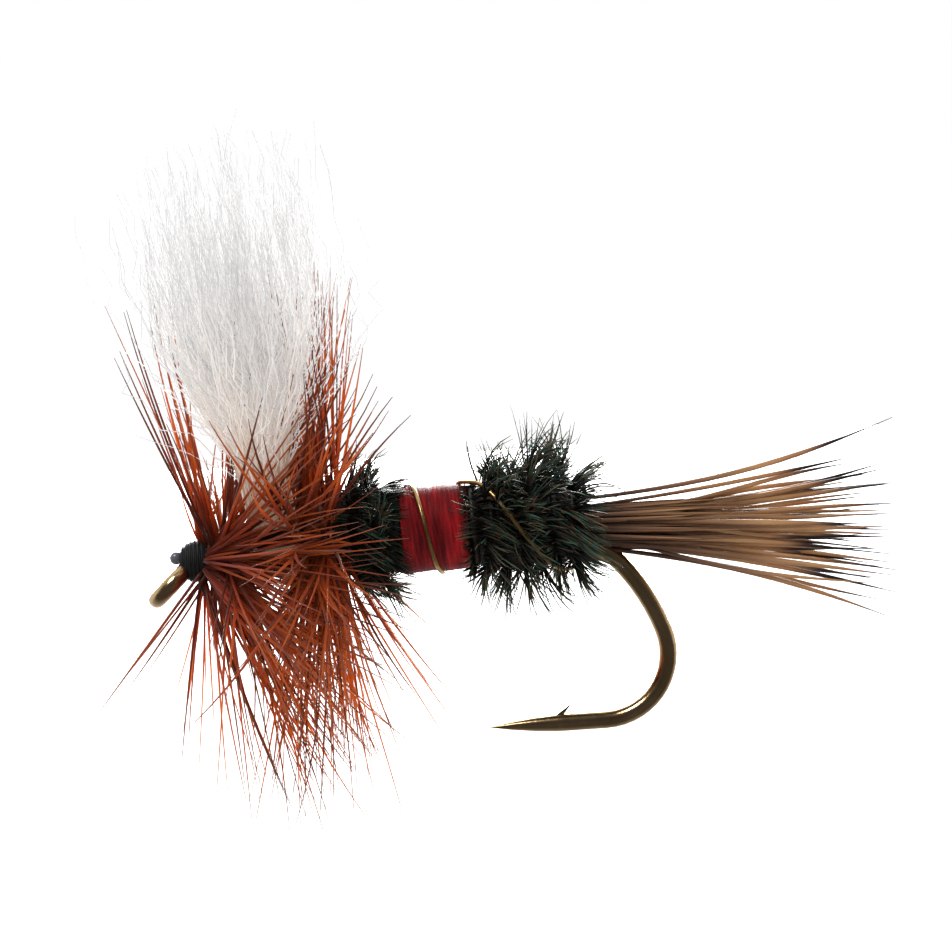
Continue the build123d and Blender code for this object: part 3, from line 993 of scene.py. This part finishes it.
def make_floor():
    bpy.ops.object.select_all(action="DESELECT")
    bpy.ops.mesh.primitive_plane_add(size=4.0, location=(0, 0, cad_low.z - 6 * MM))
    floor = bpy.context.object
    floor.name = "floor"
    material, tree, shader = start_material("pale_floor")
    set_finish(shader, Base_Color=(0.24, 0.24, 0.24, 1), Roughness=0.9,
               Emission_Color=(1, 1, 1, 1), Emission_Strength=0.76)
    split = tree.nodes.new("ShaderNodeSeparateXYZ")
    place = tree.nodes.new("ShaderNodeTexCoord")
    tree.links.new(place.outputs["Object"], split.inputs["Vector"])
    depth = tree.nodes.new("ShaderNodeMapRange")
    depth.inputs["From Min"].default_value = -0.004
    depth.inputs["From Max"].default_value = 0.02
    tree.links.new(split.outputs["Y"], depth.inputs["Value"])
    mirrored = tree.nodes.new("ShaderNodeEmission")
    tree.links.new(ramp(tree, depth.outputs["Result"], (0.0, (0.07, 0.07, 0.07)), (1.0, (0.9, 0.9, 0.9))),
                   mirrored.inputs["Color"])
    path = tree.nodes.new("ShaderNodeLightPath")
    both = tree.nodes.new("ShaderNodeMixShader")
    output = next(node for node in tree.nodes if node.type == "OUTPUT_MATERIAL")
    tree.links.new(path.outputs["Is Glossy Ray"], both.inputs["Fac"])
    tree.links.new(shader.outputs["BSDF"], both.inputs[1])
    tree.links.new(mirrored.outputs["Emission"], both.inputs[2])
    tree.links.new(both.outputs["Shader"], output.inputs["Surface"])
    floor.data.materials.append(material)


def make_world():
    """White studio, darker on the camera's side, most of all in what the metal reflects."""
    world = bpy.data.worlds.new("studio")
    bpy.context.scene.world = world
    world.use_nodes = True
    tree = world.node_tree
    tree.nodes.clear()
    output = tree.nodes.new("ShaderNodeOutputWorld")
    place = tree.nodes.new("ShaderNodeTexCoord")
    split = tree.nodes.new("ShaderNodeSeparateXYZ")
    tree.links.new(place.outputs["Generated"], split.inputs["Vector"])
    depth = tree.nodes.new("ShaderNodeMath")
    depth.operation = "MULTIPLY_ADD"
    depth.inputs[1].default_value = 0.5
    depth.inputs[2].default_value = 0.5
    tree.links.new(split.outputs["Y"], depth.inputs[0])
    lit = ramp(tree, depth.outputs[0], (0.0, (0.84, 0.84, 0.85)), (0.55, (0.98, 0.98, 0.98)))
    mirrored = ramp(
        tree, depth.outputs[0],
        (0.0, (0.05, 0.05, 0.052)), (0.36, (0.10, 0.10, 0.10)), (0.58, (1, 1, 1)),
    )
    path = tree.nodes.new("ShaderNodeLightPath")
    unseen = blend_colour(tree, "MIX", path.outputs["Is Glossy Ray"], lit, mirrored)
    colour = blend_colour(tree, "MIX", path.outputs["Is Camera Ray"], unseen, (1.0, 1.0, 1.0))
    light = tree.nodes.new("ShaderNodeBackground")
    tree.links.new(colour, light.inputs["Color"])
    tree.links.new(light.outputs["Background"], output.inputs["Surface"])


def add_light(name, place, target, size, watts):
    data = bpy.data.lights.new(name, "AREA")
    data.shape = "DISK"
    data.size = size
    data.energy = watts
    light = bpy.data.objects.new(name, data)
    light.location = place
    light.rotation_mode = "QUATERNION"
    light.rotation_quaternion = (target - place).to_track_quat("-Z", "Y")
    bpy.context.scene.collection.objects.link(light)


def make_camera(target):
    data = bpy.data.cameras.new("camera")
    data.lens = 200
    data.sensor_width = 36
    data.clip_start = 0.01
    data.clip_end = 20
    camera = bpy.data.objects.new("camera", data)
    bpy.context.scene.collection.objects.link(camera)
    elevation = math.radians(4.0)
    roll = math.radians(3.9)
    width = 31.73 * MM
    distance = width * data.lens / data.sensor_width
    back = Vector((0, -math.cos(elevation), math.sin(elevation)))
    right = Vector((math.cos(roll), 0, -math.sin(roll)))
    up = back.cross(right).normalized()
    right = up.cross(back)
    turn = Matrix((right, up, back)).transposed()
    camera.matrix_world = Matrix.Translation(target + back * distance) @ turn.to_4x4()
    bpy.context.scene.camera = camera


make_floor()
make_world()
aim = Vector((10.40 * MM, 0, 2.94 * MM))
add_light("key", Vector((-0.12, -0.14, 0.24)), aim, 0.14, 0.55)
add_light("back", Vector((0.02, 0.26, 0.06)), aim, 0.24, 2.6)
make_camera(aim)
bpy.context.scene.view_settings.view_transform = "Standard"
